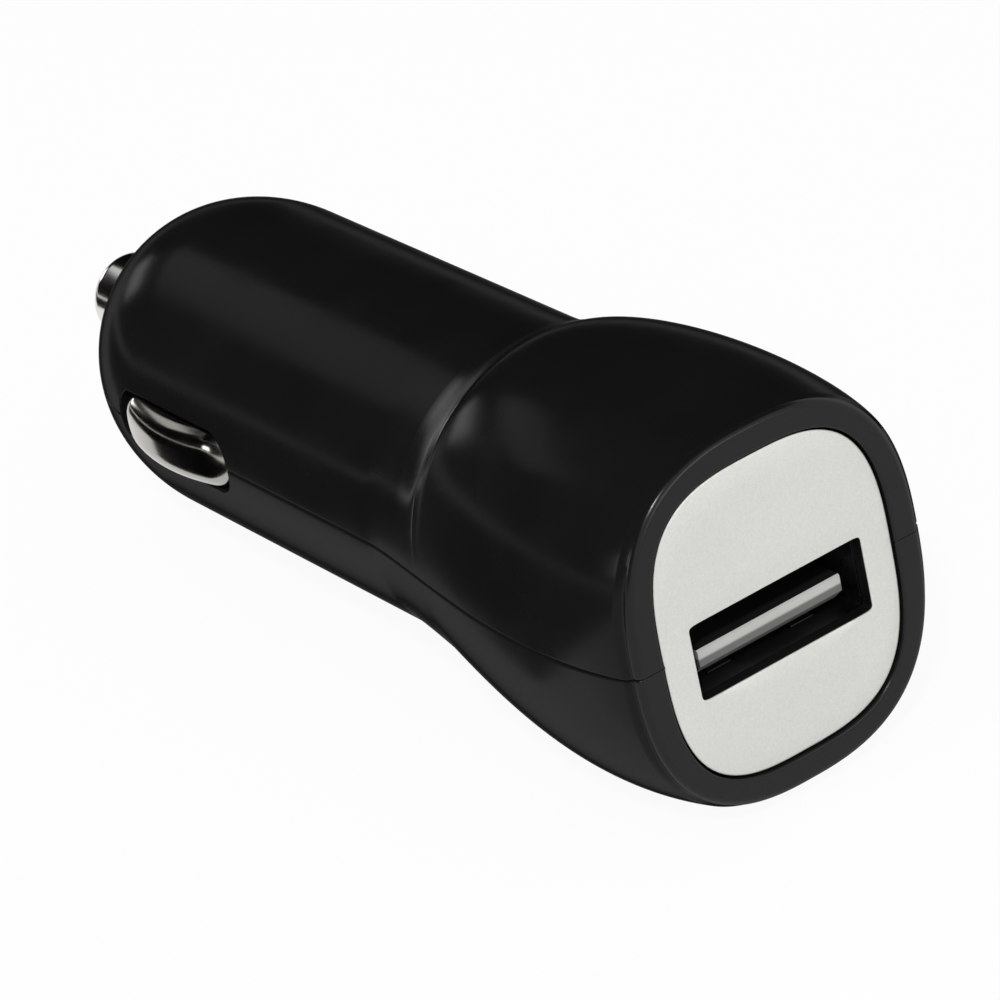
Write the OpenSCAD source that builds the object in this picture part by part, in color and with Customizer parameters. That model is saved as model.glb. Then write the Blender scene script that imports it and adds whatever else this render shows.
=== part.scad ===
// Car USB charger plug, to be pushed into a 12 V socket, lying on its side
// Origin: on the barrel's axis at the shoulder where the head begins.
// +Y runs to the nose contact, -Y out of the USB face, +Z up.
// The two shell halves meet at z = 0.

/* [Barrel] */
// Diameter of the barrel that fills the socket
barrel_d = 20.8; // [20:0.1:21]
// Length of the straight barrel, from the shoulder to the start of the nose
barrel_len = 32.9; // [31.6:0.1:40]
// Length of the rounded nose
nose_len = 10.1; // [9.5:0.1:14]
// Flat ring left around the nose contact
nose_ring = 0.6; // [0.3:0.1:1]
// Wall of the shell halves
wall = 1.5; // [1.2:0.1:1.8]

/* [Head] */
// Length of the head, from the USB face to the shoulder
head_len = 21.4; // [20:0.2:26]
// Length over which its sides and its underside run on into the barrel
flare_len = 6.1; // [5:0.1:8]
// Width of the head at the USB face
face_w = 21; // [20.5:0.1:24]
// Height of the head at the USB face
face_h = 23.8; // [22:0.1:27]
// How far each side bulges
bulge_w = 1.6; // [0.8:0.05:2.5]
// How far the top bulges
bulge_top = 1.7; // [0.8:0.1:2.5]
// How far the underside bulges
bulge_low = 1.25; // [0.8:0.05:2.5]
// Squareness of the face: 2 is an ellipse, higher is squarer
squareness = 2.6; // [2.3:0.1:3.4]
// Step down to the barrel where the head ends
shoulder_step = 0.15; // [0.1:0.05:0.3]
// Rounding of the rim's outer edge
rim_round = 0.45; // [0.2:0.05:0.6]

/* [Face panel] */
// Width of the black rim around the panel
rim_w = 1.9; // [1.6:0.05:2.4]
// Squareness of the panel's outline
panel_squareness = 3.05; // [2.5:0.05:3.6]
// Thickness of the panel
panel_t = 0.9; // [0.7:0.1:1.2]
// How far the panel lies behind the rim
panel_recess = 0.2; // [0.1:0.05:0.4]
// Gap around the panel
panel_gap = 0.12; // [0.08:0.02:0.2]
// Width of the ledge that the panel rests on
ledge_w = 0.9; // [0.6:0.1:1.1]
// Thickness of that ledge
ledge_t = 1.1; // [0.8:0.1:1.6]
// Width of the slot in the panel
slot_w = 12.7; // [12.6:0.1:13]
// Height of the slot in the panel
slot_h = 4.95; // [4.85:0.05:5.3]

/* [USB port] */
// Height of the port's middle above the barrel's axis
port_z = -1; // [-1.4:0.1:-0.6]
// Outside width of the metal can
can_w = 13.1; // [13:0.1:13.4]
// Outside height of the metal can
can_h = 5.7; // [5.6:0.1:5.9]
// Length of the metal can
can_len = 13.4; // [12.5:0.1:14]
// Sheet thickness of the metal can
can_t = 0.3; // [0.25:0.05:0.3]
// Gap between the panel and the can
can_gap = 0.08; // [0.05:0.01:0.15]
// Gap between the tongue and each side of the can
tongue_side_gap = 0.95; // [0.7:0.05:1]
// Thickness of the tongue
tongue_t = 1.84; // [1.7:0.02:1.9]
// Gap between the tongue and the can's floor
tongue_gap = 0.7; // [0.6:0.05:0.9]
// How far the tongue lies behind the can's edge
tongue_recess = 0.3; // [0.2:0.1:1]
// Width of one contact strip
pin_w = 1; // [0.8:0.1:1.2]
// Thickness of one contact strip
pin_t = 0.25; // [0.2:0.05:0.3]

/* [Nose contact] */
// Diameter of the nose contact
tip_d = 6; // [5.4:0.1:6.6]
// How far the nose contact stands out of the nose
tip_out = 7.5; // [6:0.1:8.2]
// How far it can be pushed in
tip_travel = 2.5; // [1.5:0.1:3]
// Rounding of its outer end
tip_round = 1.3; // [0.8:0.1:1.6]
// Diameter of its flange
flange_d = 8.4; // [8:0.1:9]
// Thickness of its flange
flange_t = 1.2; // [0.8:0.1:1.6]
// Clearance around the contact and its flange
tip_clear = 0.2; // [0.15:0.05:0.3]
// Length that the spring behind it keeps beyond its closed turns and the travel
spring_spare = 4; // [2:0.5:5]
// Outside diameter of the spring
spring_d = 5.6; // [5:0.1:6.4]
// Wire of the spring
spring_wire = 0.6; // [0.5:0.05:0.7]
// Number of turns of the spring
spring_turns = 5; // [4:1:7]

/* [Side contacts] */
// Width of a side contact
shoe_w = 4; // [3.6:0.1:4.4]
// How far a side contact stands out of the barrel
shoe_out = 1.05; // [0.8:0.05:1.2]
// How far its two ends lie below its middle
shoe_rise = 1.25; // [1.1:0.05:1.4]
// Length of the bowed part
shoe_len = 12.4; // [12:0.1:12.8]
// Depth of its folded edges
shoe_fold = 2.4; // [2.2:0.1:2.5]
// Outer radius of its folds
shoe_round = 1.3; // [0.9:0.1:1.5]
// Sheet thickness of a side contact
shoe_t = 0.4; // [0.3:0.05:0.5]
// Gap between its middle and the start of the nose
shoe_from_nose = 4.5; // [4:0.1:5.5]
// Gap around it in the barrel
shoe_gap = 0.15; // [0.1:0.05:0.3]

/* [Circuit board] */
// Gap between the board's lower edges and the shell
board_side_gap = 0.3; // [0.2:0.05:0.5]
// Thickness of the board
board_t = 1.2; // [1:0.1:1.6]
// Gap between the can and the board
board_gap = 0.1; // [0.05:0.05:0.2]
// Gap between the board's front edge and the panel
board_front_gap = 0.6; // [0.4:0.1:1]
// Gap between the board's end and the side contacts
board_end_gap = 0.6; // [0.4:0.1:1]
// Diameter of the coil core
core_d = 8; // [7:0.1:8.2]
// Height of the coil core
core_h = 5.2; // [4.5:0.1:5.6]
// Diameter of the input capacitor
input_cap_d = 6.3; // [5:0.1:6.4]
// Length of the input capacitor
input_cap_len = 8.4; // [7:0.1:9]
// Diameter of the output capacitor
output_cap_d = 5; // [4:0.1:5.4]
// Height of the output capacitor
output_cap_h = 5.4; // [5:0.1:5.8]
// Length of the converter chip's body
chip_len = 4.9; // [4.7:0.1:5.1]
// Width of the converter chip's body
chip_w = 3.9; // [3.7:0.1:4.1]
// Height of the converter chip
chip_h = 1.5; // [1.3:0.1:1.7]
// Length of a small resistor
resistor_len = 2; // [1.6:0.1:2.2]
// Length of a ceramic capacitor
ceramic_len = 3.2; // [2:0.1:3.4]

/* [Hidden] */

$fn = 64;

// Barrel and nose
barrel_r = barrel_d / 2;
bore_r = barrel_r - wall;
nose_y = barrel_len + nose_len;
tip_hole_r = tip_d / 2 + tip_clear;
nose_flat_r = tip_hole_r + nose_ring;
guide_r = flange_d / 2 + tip_clear;
guide_wall = 0.8;
nose_wall = 1.6;
flange_y = nose_y - nose_wall;
seat_t = 0.5;
seat_gap = 0.1;
spring_play = 0.05;
spring_len = (spring_turns + 1) * spring_wire + tip_travel + spring_spare;
hub_len = 1.2;
hub_play = 0.15;
seat_y = flange_y - flange_t - spring_len - seat_t;
nose_steps = 14;

// Head
face_y = -head_len;
root_r = barrel_r + shoulder_step;
barrel_start_y = flare_len - 1.5;
flare_steps = 6;
head_rays = 32;
head_steps = 16;
bulge_w_powers = [0.8, 1.4];
bulge_top_powers = [1.3, 0.4];
bulge_low_powers = [1, 1.5];
ellipse_power = 2;
cut_spare = 1;
panel_y = face_y + panel_recess;
panel_back_y = panel_y + panel_t;
panel_half_w = face_w / 2 - rim_w - panel_gap;
panel_half_h = face_h / 2 - rim_w - panel_gap;
ledge_slope = 0.9;
ledge_end_y = panel_back_y + ledge_t + ledge_slope;
rim_steps = 4;

// USB port
can_y = panel_back_y + can_gap;
can_floor_z = port_z - can_h / 2 + can_t;
can_corner_r = 0.6;
tongue_y = can_y + tongue_recess;
tongue_z = can_floor_z + tongue_gap;
tongue_block = 2.4;
tongue_w = can_w - 2 * can_t - 2 * tongue_side_gap;
tongue_bevel = 0.12;
tongue_chamfer = [0.85, 0.75];
tongue_step = 2.6;
tongue_lap = 0.5;
block_gap = 0.05;
pin_play = 0.05;
pin_pitch = [-3.5, -1, 1, 3.5];
can_spring_w = 1.7;
can_spring_len = 5.2;
can_spring_x = 3.1;
can_spring_y = can_y + 1.6;
can_spring_cut = 0.25;
can_spring_dip = 0.35;
can_leg_len = 1.4;
can_leg_back = 4.5;
can_leg_y = can_y + can_len - can_leg_back;
can_leg_out = 0.5;
can_leg_gap = 0.1;

// Board
board_top_z = port_z - can_h / 2 - board_gap;
under_z = board_top_z - board_t;
board_w = 2 * sqrt(pow(bore_r - board_side_gap, 2) - pow(under_z, 2));
board_y = panel_back_y + board_front_gap;
shoe_mid_y = barrel_len - shoe_from_nose;
shoe_start_y = shoe_mid_y - shoe_len / 2;
board_end_y = shoe_start_y - board_end_gap;
can_end_y = can_y + can_len;
part_gap = 1.2;
board_margin = 0.5;

// Side contacts
shoe_x = barrel_r + shoe_out;
shoe_bow_r = (pow(shoe_len / 2, 2) + pow(shoe_rise, 2)) / (2 * shoe_rise);
shoe_bow_x = shoe_x - shoe_bow_r;
shoe_half_angle = asin(shoe_len / 2 / shoe_bow_r);
shoe_end_spare = 0.15;
shoe_end_r = shoe_w / 2 + shoe_end_spare;
shoe_centres = [shoe_start_y + shoe_end_r, shoe_mid_y + shoe_len / 2 - shoe_end_r];
tab_len = 1;
tab_w = 2;
tab_head = [0.9, 2.1];
tab_sink = 0.35;
tab_x = bore_r - tab_sink - shoe_t;
leg_clear = 0.12;
leg_lap = 0.8;
leg_side_gap = 0.3;

// Coil, capacitors and small parts, in a row behind the can
coil_y = can_end_y + part_gap + core_d / 2;
core_flange_t = 0.9;
core_neck_r = core_d * 0.28;
winding_r = core_d / 2 - 0.5;
input_cap_y = coil_y + core_d / 2 + part_gap;
input_cap_z = board_top_z + input_cap_d / 2 + 0.1;
output_cap_y = input_cap_y + input_cap_len + part_gap / 2 + output_cap_d / 2;
cap_edge = 0.3;
cap_groove = 0.25;
cap_groove_y = 1.4;
cap_lead_r = 0.25;
cap_lead_share = 0.2;
chip_y = coil_y;
chip_foot = 0.12;
lead_w = 0.42;
lead_t = 0.7;
lead_pitch = 1.27;
lead_out = 1.05;
lead_lap = 0.2;
diode_len = 4.3;
diode_gap = 0.85;
diode_y = chip_y + (chip_len + diode_len) / 2 + diode_gap;
diode_w = 2.6;
diode_h = 2;
diode_foot = 0.1;
diode_lead_w = 1.4;
diode_lead_len = 0.6;
resistor_w = 1.25;
resistor_h = 0.5;
resistor_x = 2.4;
resistor_pitch = 1.9;
resistor_y = diode_y + diode_len / 2 + 1.4;
ceramic_w = 1.6;
ceramic_h = 1.1;
ceramic_x = 2;
ceramic_pitch = 2.6;
ceramic_back = 6;
ceramic_y = can_end_y - ceramic_back;

// Ribs and bosses inside the shells
rail_w = 1;
rail_x = 5.2;
rail_y = flare_len + 0.5;
rail_foot_z = -sqrt(pow(bore_r + wall / 2, 2) - pow(rail_x + rail_w / 2, 2));
post_w = 0.9;
post_len = 1.6;
post_gap = 0.15;
post_z = board_top_z + post_gap;
post_top_z = sqrt(pow(bore_r + wall / 2, 2) - pow(board_w / 2, 2));
post_y = [rail_y, board_end_y - 2 * post_len];
boss_r = 1.3;
peg_r = 0.65;
peg_len = 2.2;
peg_gap = 0.08;
peg_floor = 0.4;
boss_depth = 3.3;
boss_y = [-head_len * 0.45, barrel_len * 0.4];
boss_sink = 0.25;

function boss_x(i) = i == 0
    ? half_w(boss_y[0]) - wall - boss_r + boss_sink
    : bore_r - boss_r + boss_sink;

// Half width, half height above and below, and squareness of the head at y. The top ends at
// the shoulder, and the sides and the underside run on along the barrel.
function run_on(y, size, bulge, powers) =
    let (t = (y - face_y) / (head_len + flare_len))
    size / 2 * (1 - t) + root_r * t + bulge * swell(t, powers);
function half_w(y) = run_on(y, face_w, bulge_w, bulge_w_powers);
function half_low(y) = run_on(y, face_h, bulge_low, bulge_low_powers);
function half_top(y) =
    let (t = min(1, (y - face_y) / head_len))
    face_h / 2 * (1 - t) + root_r * t + bulge_top * swell(t, bulge_top_powers);
function square_at(y) =
    let (t = min(1, (y - face_y) / head_len))
    ellipse_power + (squareness - ellipse_power) * (1 - t * t);

// Share of a bulge at t: it rises with the first power, falls with the second and is 1 at its highest
function swell(t, powers) =
    let (top = powers[0] / (powers[0] + powers[1]))
    pow(t / top, powers[0]) * pow(max(0, 1 - t) / (1 - top), powers[1]);

// Places of the slices through the head behind its ledge, closer together near the shoulder
slice_y = concat(
    [for (k = [0:head_steps]) ledge_end_y * (1 - sin(90 * k / head_steps))],
    [for (k = [1:flare_steps]) flare_len * k / flare_steps]
);

// Distance from the axis to a superellipse in the direction a
function reach(a, w, h, n) = pow(pow(abs(cos(a)) / w, n) + pow(abs(sin(a)) / h, n), -1 / n);
function at(a, w, h, n, y) = [reach(a, w, h, n) * cos(a), y, reach(a, w, h, n) * sin(a)];
function outside(a, y, top, inset = 0) =
    at(a, half_w(y) - inset, (top ? half_top(y) : half_low(y)) - inset, square_at(y), y);

// One slice through the head's wall in the direction a: the outside from face to shoulder ...
function slice_outside(a, top) = concat(
    [
        for (k = [0:rim_steps - 1])
            let (q = 90 * k / rim_steps, d = rim_round * (1 - sin(q)))
            let (y = rim_round * (1 - cos(q)))
            at(a, face_w / 2 - d, face_h / 2 - d, square_at(face_y), face_y + y)
    ],
    [for (y = [0, ledge_t / 2, ledge_t]) outside(a, panel_back_y + y, top)],
    [for (y = slice_y) outside(a, y, top)]
);

// ... and the inside: panel seat, ledge and hollow
function slice_inside(a, top) = concat(
    [for (y = [face_y, panel_back_y])
        at(a, panel_half_w + panel_gap, panel_half_h + panel_gap, panel_squareness, y)],
    [for (y = [panel_back_y, panel_back_y + ledge_t])
        at(a, panel_half_w - ledge_w, panel_half_h - ledge_w, panel_squareness, y)],
    [for (y = slice_y) outside(a, y, top, wall)]
);

// Half of the head, as one closed wall swept through 180 degrees below the parting: with the
// top's form, to be turned over, or with the underside's
module head_half(top) {
    outer_n = rim_steps + 3 + len(slice_y);
    inner_n = 4 + len(slice_y);
    ring = outer_n + inner_n;
    angles = [for (j = [0:head_rays]) 180 + 180 * j / head_rays];
    points = [
        for (a = angles)
            let (o = slice_outside(a, top), i = slice_inside(a, top))
            each concat(o, [for (k = [inner_n - 1:-1:0]) i[k]])
    ];
    sides = [
        for (j = [0:head_rays - 1], k = [0:ring - 1])
            let (p = j * ring + k, q = j * ring + (k + 1) % ring)
            each [[p, p + ring, q], [q, p + ring, q + ring]]
    ];
    front = [for (k = [0:rim_steps]) k];
    function inner(k) = ring - 1 - k;
    cap = concat(
        [concat(front, [inner(1), inner(0)])],
        [
            for (k = [1:inner_n - 2], first = [rim_steps + k - 1, rim_steps + k])
                first < rim_steps + k
                    ? [inner(k), first, first + 1]
                    : [inner(k), first, inner(k + 1)]
        ]
    );
    far = head_rays * ring;
    far_cap = [for (f = cap) [for (k = [len(f) - 1:-1:0]) f[k] + far]];
    polyhedron(points, concat(sides, cap, far_cap), convexity = 6);
}

// Half outline of the barrel, nose and contact guide, as radius and place along the axis
function nose_arc(inset) = [
    for (k = [0:nose_steps])
        let (a = 90 * k / nose_steps)
        [
            nose_flat_r + (barrel_r - nose_flat_r) * cos(a) - inset * cos(a),
            barrel_len + (nose_len - inset) * sin(a)
        ]
];
function nose_inside() = [for (p = nose_arc(wall)) if (p[0] > guide_r + guide_wall) p];

module barrel_half() {
    inside = nose_inside();
    rotate([-90, 0, 0])
        rotate_extrude(angle = 180)
        polygon(concat(
            [[barrel_r, barrel_start_y]],
            nose_arc(0),
            [
                [tip_hole_r, nose_y],
                [tip_hole_r, flange_y],
                [guide_r, flange_y],
                [guide_r, seat_y],
                [guide_r + guide_wall, seat_y],
                [guide_r + guide_wall, inside[len(inside) - 1][1]]
            ],
            [for (k = [len(inside) - 1:-1:0]) inside[k]],
            [[bore_r, barrel_start_y]]
        ));
}

// Outline of a side contact seen from the side, with both ends round
module shoe_plan(half, start_r, end_r) {
    steps = 12;
    radii = [start_r, end_r];
    polygon([
        for (m = [1, 0], k = [0:steps])
            let (r = radii[m], a = 180 * (1 - m) + asin(half / r) * (2 * k / steps - 1))
            [shoe_centres[m] + r * cos(a), r * sin(a)]
    ]);
}

// Openings for the side contacts, both at once
module shoe_opening() {
    for (s = [-1, 1])
        translate([s * barrel_r - 2 * wall, 0, 0])
            rotate([90, 0, 90])
            linear_extrude(height = 4 * wall)
            shoe_plan(shoe_w / 2 + shoe_gap, shoe_end_r + shoe_gap, shoe_end_r + 2 * shoe_gap);
}

// What both shell halves share, below the parting
module shell_half(top) {
    difference() {
        union() {
            head_half(top);
            barrel_half();
        }
        shoe_opening();
    }
}

module boss(i, r, h) {
    for (s = [-1, 1])
        translate([s * boss_x(i), boss_y[i], -h])
            cylinder(r = r, h = h);
}

module lower_shell() {
    color("#1b1b1c")
        union() {
            difference() {
                union() {
                    shell_half(false);
                    for (i = [0, 1]) boss(i, boss_r, boss_depth);
                }
                for (i = [0, 1]) boss(i, peg_r + peg_gap, peg_len + peg_floor);
            }
            for (s = [-1, 1])
                translate([s * rail_x - rail_w / 2, rail_y, rail_foot_z])
                    cube([rail_w, board_end_y - rail_y, under_z - rail_foot_z]);
        }
}

module upper_shell() {
    color("#1b1b1c")
        union() {
            mirror([0, 0, 1]) shell_half(true);
            for (i = [0, 1]) {
                mirror([0, 0, 1]) boss(i, boss_r, boss_depth);
                boss(i, peg_r, peg_len);
            }
            for (s = [-1, 1], y = post_y)
                translate([s * (board_w - post_w) / 2 - post_w / 2, y, post_z])
                    cube([post_w, post_len, post_top_z - post_z]);
        }
}

module face_panel() {
    outline = [
        for (j = [0:95])
            let (a = 360 * j / 96, p = at(a, panel_half_w, panel_half_h, panel_squareness, 0))
            [p[0], -p[2]]
    ];
    color("#d2d3cd")
        translate([0, panel_y, 0])
        rotate([-90, 0, 0])
        difference() {
            linear_extrude(height = panel_t) polygon(outline);
            translate([-slot_w / 2, -port_z - slot_h / 2, -cut_spare])
                cube([slot_w, slot_h, panel_t + 2 * cut_spare]);
        }
}

// Bar with round edges along Y, w wide and h high around the port's middle
module port_bar(w, h, r, y, length) {
    translate([0, y, port_z])
        rotate([-90, 0, 0])
        linear_extrude(height = length)
        union() {
            square([w - 2 * r, h], center = true);
            square([w, h - 2 * r], center = true);
            for (sx = [-1, 1], sy = [-1, 1])
                translate([sx * (w / 2 - r), sy * (h / 2 - r)]) circle(r = r);
        }
}

// Folded can with two springs in its roof, two in its floor and two legs through the board
module usb_can() {
    inner_w = can_w - 2 * can_t;
    inner_h = can_h - 2 * can_t;
    cut_w = can_spring_w + 2 * can_spring_cut;
    leg_z = under_z - can_leg_out;
    color("#b9bbbd")
        union() {
            difference() {
                port_bar(can_w, can_h, can_corner_r, can_y, can_len);
                port_bar(inner_w, inner_h, can_corner_r - can_t, can_y - cut_spare, can_len + 2 * cut_spare);
                for (s = [-1, 1])
                    translate([s * can_spring_x - cut_w / 2, can_spring_y, port_z - can_h])
                        cube([cut_w, can_spring_len, can_h * 2]);
            }
            for (s = [-1, 1], m = [0, 1])
                translate([s * can_spring_x - can_spring_w / 2, can_spring_y + can_spring_len, port_z])
                    mirror([0, 0, m])
                    translate([0, 0, can_h / 2 - can_t])
                    can_spring();
            for (s = [-1, 1])
                translate([s * (can_w - can_t) / 2 - can_t / 2, can_leg_y, leg_z])
                    cube([can_t, can_leg_len, port_z - can_h / 4 - leg_z]);
        }
}

// Spring cut out of the can's sheet: it dips into the can and rises again at its free end
module can_spring() {
    root = 0.4;
    free_y = -can_spring_len + 0.2;
    bend_y = -can_spring_len * 0.68;
    rotate([90, 0, 90])
        linear_extrude(height = can_spring_w)
        polygon([
            [root, 0], [0, 0], [bend_y, -can_spring_dip], [free_y, can_t / 5],
            [free_y - 0.1, can_t], [bend_y, can_t - can_spring_dip], [0, can_t], [root, can_t]
        ]);
}

// Plastic tongue, chamfered below its edge, on the block that closes the can's back
module usb_tongue() {
    inner_w = can_w - 2 * can_t - 2 * block_gap;
    inner_h = can_h - 2 * can_t - 2 * block_gap;
    block_y = can_end_y - tongue_block;
    len_y = block_y - tongue_y + tongue_lap;
    color("#c9cac6")
        union() {
            translate([-tongue_w / 2, tongue_y, tongue_z])
                rotate([90, 0, 90])
                linear_extrude(height = tongue_w)
                polygon([
                    [tongue_chamfer[0], 0], [len_y, 0], [len_y, tongue_t - pin_t],
                    [tongue_step, tongue_t - pin_t], [tongue_step, tongue_t], [tongue_bevel, tongue_t],
                    [0, tongue_t - tongue_bevel], [0, tongue_chamfer[1]]
                ]);
            port_bar(inner_w, inner_h, can_corner_r - can_t, block_y, tongue_block);
        }
}

// One contact strip, lying in the tongue's upper side
module usb_pin(i) {
    pin_y = tongue_y + tongue_step + pin_play;
    color("#d8b25a")
        translate([pin_pitch[i] - pin_w / 2, pin_y, tongue_z + tongue_t - pin_t])
        cube([pin_w, can_end_y - tongue_block - pin_y, pin_t]);
}

// Turned nose contact with a flange that stops it in the nose
module tip_contact() {
    r = tip_d / 2;
    steps = 6;
    hub_r = spring_d / 2 - spring_wire - hub_play;
    color("#c8c9c7")
        rotate([-90, 0, 0])
        rotate_extrude()
        polygon(concat(
            [
                [0, flange_y - flange_t - hub_len],
                [hub_r, flange_y - flange_t - hub_len],
                [hub_r, flange_y - flange_t],
                [flange_d / 2, flange_y - flange_t],
                [flange_d / 2, flange_y - tip_clear / 2],
                [r, flange_y - tip_clear / 2]
            ],
            [
                for (k = [0:steps])
                    let (a = 90 * k / steps)
                    [r - tip_round * (1 - cos(a)), nose_y + tip_out - tip_round * (1 - sin(a))]
            ],
            [[0, nose_y + tip_out]]
        ));
}

// Coil spring between the nose contact and its seat, swept as one closed tube
module tip_spring() {
    sides = 8;
    per_turn = 18;
    mean_r = (spring_d - spring_wire) / 2;
    wire_r = spring_wire / 2;
    start = flange_y - flange_t - spring_play - wire_r;
    rise = spring_len - 2 * spring_play - spring_wire;
    dead = 0.75;
    count = spring_turns * per_turn;
    // The end turns lie flat and the rest climb evenly
    function climb(u) = min(1, max(0, (u * spring_turns - dead) / (spring_turns - 2 * dead)));
    function flat(u) = wire_r * (u * spring_turns < dead ? u * spring_turns / dead :
        u * spring_turns > spring_turns - dead ? 2 - (spring_turns - u * spring_turns) / dead : 1);
    function place(u) = climb(u) * (rise - spring_wire) + flat(u);
    points = [
        for (k = [0:count], j = [0:sides - 1])
            let (u = k / count, a = 360 * spring_turns * u, b = 360 * j / sides)
            let (r = mean_r + wire_r * cos(b))
            [r * cos(a), start - place(u) - wire_r * sin(b), r * sin(a)]
    ];
    tube = [
        for (k = [0:count - 1], j = [0:sides - 1])
            let (p = k * sides + j, q = k * sides + (j + 1) % sides)
            each [[p, q, p + sides], [q, q + sides, p + sides]]
    ];
    first = [for (j = [sides - 1:-1:0]) j];
    last = [for (j = [0:sides - 1]) count * sides + j];
    color("#9fa2a5")
        polyhedron(points, concat(tube, [first, last]), convexity = 10);
}

// Seat of the spring: a disc in the guide with a strip down to the board's end
module spring_seat() {
    strip_w = 2.4;
    strip_z = board_top_z + spring_play;
    strip_y = board_end_y - part_gap;
    color("#c9a24e")
        union() {
            translate([0, seat_y, 0])
                rotate([-90, 0, 0])
                cylinder(r = guide_r - seat_gap, h = seat_t);
            translate([-strip_w / 2, seat_y, strip_z])
                cube([strip_w, seat_t, -strip_z]);
            translate([-strip_w / 2, strip_y, strip_z])
                cube([strip_w, seat_y + seat_t - strip_y, seat_t]);
        }
}

// Section of a side contact's sheet, folded along both edges
module shoe_section() {
    w = shoe_w / 2;
    ri = shoe_round - shoe_t;
    steps = 6;
    back = shoe_bow_r - shoe_fold;
    function fold(s, r, half) = [
        for (k = [0:steps])
            let (a = s > 0 ? 90 * k / steps : 90 - 90 * k / steps)
            [
                shoe_bow_r - shoe_round + r * cos(a),
                s * (half - r + r * sin(a))
            ]
    ];
    polygon(concat(
        [[back, -w]], fold(-1, shoe_round, w), fold(1, shoe_round, w), [[back, w]],
        [[back, w - shoe_t]],
        [for (k = [steps:-1:0]) fold(1, ri, w - shoe_t)[k]],
        [for (k = [steps:-1:0]) fold(-1, ri, w - shoe_t)[k]],
        [[back, -w + shoe_t]]
    ));
}

// Right side contact: a bowed sheet with folded edges, a tab under the shell and a leg to the board
module side_contact() {
    bridge = shoe_w / 2 - shoe_t / 2;
    head_y = [shoe_start_y + tab_head[0], shoe_start_y + tab_head[1]];
    tab_y = shoe_start_y - tab_len;
    leg_x = board_w / 2 - leg_lap;
    leg_z = board_top_z + leg_clear;
    leg_out = sqrt(pow(bore_r - leg_side_gap, 2) - pow(leg_z, 2));
    leg_top = [tab_x + shoe_t / 2, tab_w / 2 - shoe_t / 4];
    color("#c4c6c6")
        union() {
            intersection() {
                translate([shoe_bow_x, shoe_mid_y, 0])
                    rotate([0, 0, -shoe_half_angle])
                    rotate_extrude(angle = 2 * shoe_half_angle)
                    shoe_section();
                rotate([90, 0, 90])
                    linear_extrude(height = 2 * shoe_x)
                    shoe_plan(shoe_w / 2, shoe_end_r, shoe_end_r);
            }
            translate([tab_x, 0, 0])
                rotate([90, 0, 90])
                linear_extrude(height = shoe_t)
                polygon([
                    [tab_y, -tab_w / 2], [head_y[0], -tab_w / 2], [head_y[0], -bridge],
                    [head_y[1], -bridge], [head_y[1], bridge], [head_y[0], bridge],
                    [head_y[0], tab_w / 2], [tab_y, tab_w / 2]
                ]);
            translate([0, tab_y + shoe_t * 1.25, 0])
                rotate([90, 0, 0])
                linear_extrude(height = shoe_t)
                polygon([
                    [leg_x, leg_z], [leg_out, leg_z], [leg_top[0], -leg_top[1]],
                    leg_top, [leg_x, leg_top[1]]
                ]);
        }
}

module side_contact_right() {
    side_contact();
}

module side_contact_left() {
    mirror([1, 0, 0]) side_contact();
}

// Board, as wide as the can needs below it and as the barrel allows behind it
module circuit_board() {
    front_x = can_w / 2 + board_margin;
    notch_x = can_w / 2 - can_t - can_leg_gap;
    notch_y = [can_leg_y - can_leg_gap, can_leg_y + can_leg_len + can_leg_gap];
    edge = [
        [front_x, board_y], [front_x, notch_y[0]], [notch_x, notch_y[0]], [notch_x, notch_y[1]],
        [front_x, notch_y[1]], [front_x, can_end_y], [board_w / 2, can_end_y], [board_w / 2, board_end_y]
    ];
    color("#1f5a3a")
        translate([0, 0, under_z])
        linear_extrude(height = board_t)
        polygon(concat(edge, [for (k = [len(edge) - 1:-1:0]) [-edge[k][0], edge[k][1]]]));
}

// Drum core of the coil
module coil_core() {
    color("#3a3a3c")
        translate([0, coil_y, board_top_z])
        rotate_extrude()
        polygon([
            [0, 0], [core_d / 2, 0], [core_d / 2, core_flange_t], [core_neck_r, core_flange_t],
            [core_neck_r, core_h - core_flange_t], [core_d / 2, core_h - core_flange_t],
            [core_d / 2, core_h], [0, core_h]
        ]);
}

module coil_winding() {
    play = 0.04;
    color("#b06a35")
        translate([0, coil_y, board_top_z + core_flange_t + play])
        difference() {
            cylinder(r = winding_r, h = core_h - 2 * core_flange_t - 2 * play);
            translate([0, 0, -cut_spare]) cylinder(r = core_neck_r + play, h = core_h);
        }
}

// Can of a capacitor, standing on its leads, with a pressed groove near them
module capacitor_can(d, h) {
    r = d / 2;
    groove = cap_groove_y;
    rotate_extrude()
        polygon([
            [0, cap_edge], [r - cap_edge, cap_edge], [r, 2 * cap_edge], [r, groove - cap_groove],
            [r - cap_groove, groove - cap_groove / 3], [r - cap_groove, groove + cap_groove / 3],
            [r, groove + cap_groove], [r, h - cap_edge], [r - cap_edge, h], [0, h]
        ]);
    for (s = [-1, 1])
        translate([s * cap_lead_share * d, 0, 0])
            cylinder(r = cap_lead_r, h = 2 * cap_edge);
}

module input_capacitor() {
    color("#2a3a63")
        translate([0, input_cap_y, input_cap_z])
        rotate([-90, 0, 0])
        capacitor_can(input_cap_d, input_cap_len);
}

module output_capacitor() {
    color("#33343a")
        translate([0, output_cap_y, board_top_z])
        capacitor_can(output_cap_d, output_cap_h);
}

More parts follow.
